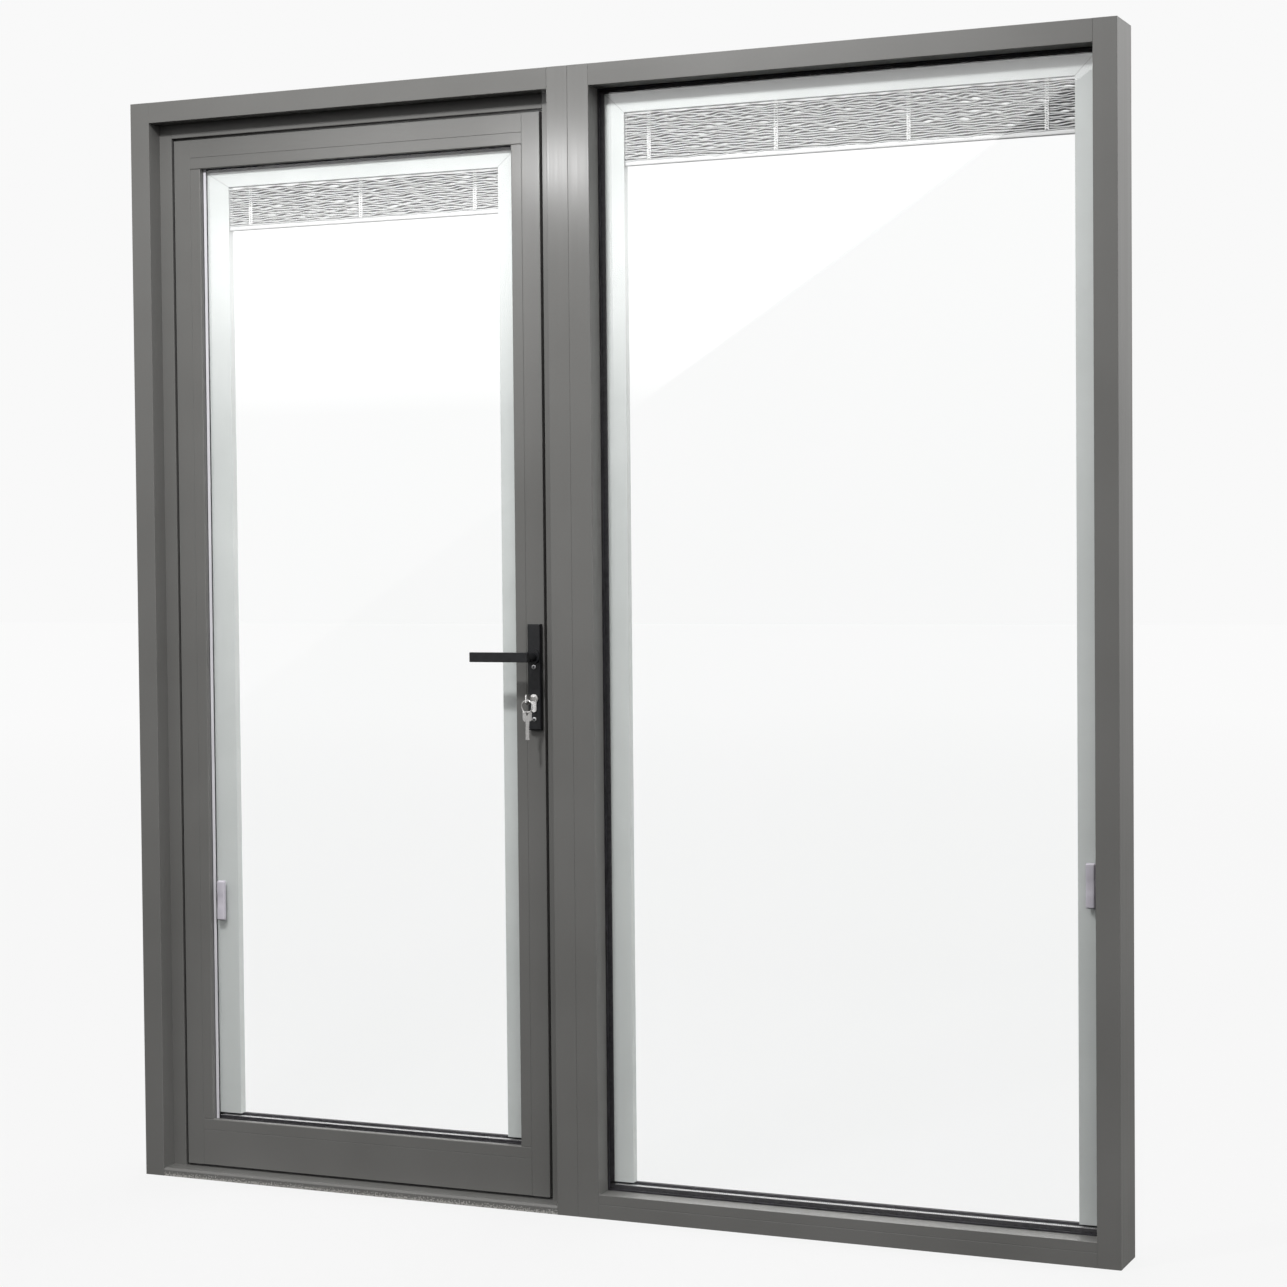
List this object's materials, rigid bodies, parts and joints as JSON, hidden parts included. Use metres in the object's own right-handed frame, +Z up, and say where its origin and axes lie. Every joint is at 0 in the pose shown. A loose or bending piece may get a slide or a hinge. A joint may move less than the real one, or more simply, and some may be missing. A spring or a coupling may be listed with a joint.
{
  "type": "glazed door with sidelight",
  "caption": "Aluminium frame with a hinged glazed door and a fixed glazed sidelight, blinds sealed inside the glass, lever handles and magnetic blind sliders.",
  "frame": {"origin": "middle of the width and of the frame's depth, on the underside of the sill", "axes": "+Z up, +X to the right seen from the slider side, +Y away from the viewer, the way the door opens"},
  "size_m": [1.955, 0.1786, 2.1],
  "materials": {
    "profile_coat": "satin warm grey powder coat",
    "seal_rubber": "matt black extruded rubber",
    "glass": "clear float glass",
    "spacer_edge": "dark edge seal with a bright perforated line",
    "cassette_coat": "satin white coat",
    "slat_coat": "light silver-grey coil coat",
    "rail_coat": "satin anodised",
    "slider_plastic": "light grey moulded plastic",
    "handle_coat": "satin black powder coat",
    "lock_steel": "brushed stainless steel",
    "nickel": "bright nickel plate",
    "hinge_coat": "satin dark coat"
  },
  "bodies": {
    "frame": {"hinge_jamb": "profile_coat", "strike_jamb": "profile_coat", "strike_plate": "lock_steel", "door_head": "profile_coat", "threshold": "profile_coat", "door_seal": "seal_rubber", "window_left_jamb": "profile_coat", "window_right_jamb": "profile_coat", "window_head": "profile_coat", "window_sill": "profile_coat", "sill_trim": "profile_coat", "window_beads": "profile_coat", "window_gasket": "seal_rubber", "window_front_pane": "glass", "window_rear_pane": "glass", "window_spacer": "spacer_edge", "window_cassette": "cassette_coat", "window_blind": "slat_coat", "window_slider_rail": "rail_coat", "hinge_frame_halves": "hinge_coat"},
    "leaf": {"hinge_stile": "profile_coat", "lock_stile": "profile_coat", "lock_forend": "lock_steel", "top_rail": "profile_coat", "bottom_rail": "profile_coat", "leaf_beads": "profile_coat", "leaf_gasket": "seal_rubber", "door_front_pane": "glass", "door_rear_pane": "glass", "door_spacer": "spacer_edge", "door_cassette": "cassette_coat", "door_blind": "slat_coat", "door_slider_rail": "rail_coat", "handle_plate_front": "handle_coat", "handle_plate_back": "handle_coat", "lock_cylinder": "nickel", "key": "nickel", "key_ring": "nickel", "spare_key": "nickel", "hinge_leaf_halves": "hinge_coat"},
    "lever": {"lever_front": "handle_coat", "lever_back": "handle_coat", "spindle": "lock_steel"},
    "door_slider": {"door_slider": "slider_plastic"},
    "window_slider": {"window_slider": "slider_plastic"}
  },
  "joints": [
    {"name": "leaf_swing", "type": "hinge", "parent": "frame", "child": "leaf", "pos_m": [-0.92025, 0.0585, 0], "axis": [0, 0, 1], "range_deg": [0, 110]},
    {"name": "lever_turn", "type": "hinge", "parent": "leaf", "child": "lever", "pos_m": [-0.126, 0, 1.027], "axis": [0, -1, 0], "range_deg": [0, 40], "stiffness_Nm_per_rad": 1.5, "springref_deg": -20.05},
    {"name": "door_slider_slide", "type": "slide", "parent": "leaf", "child": "door_slider", "axis": [0, 0, 1], "range_m": [-0.387, 1.383]},
    {"name": "window_slider_slide", "type": "slide", "parent": "frame", "child": "window_slider", "axis": [0, 0, 1], "range_m": [-0.552, 1.37]}
  ]
}
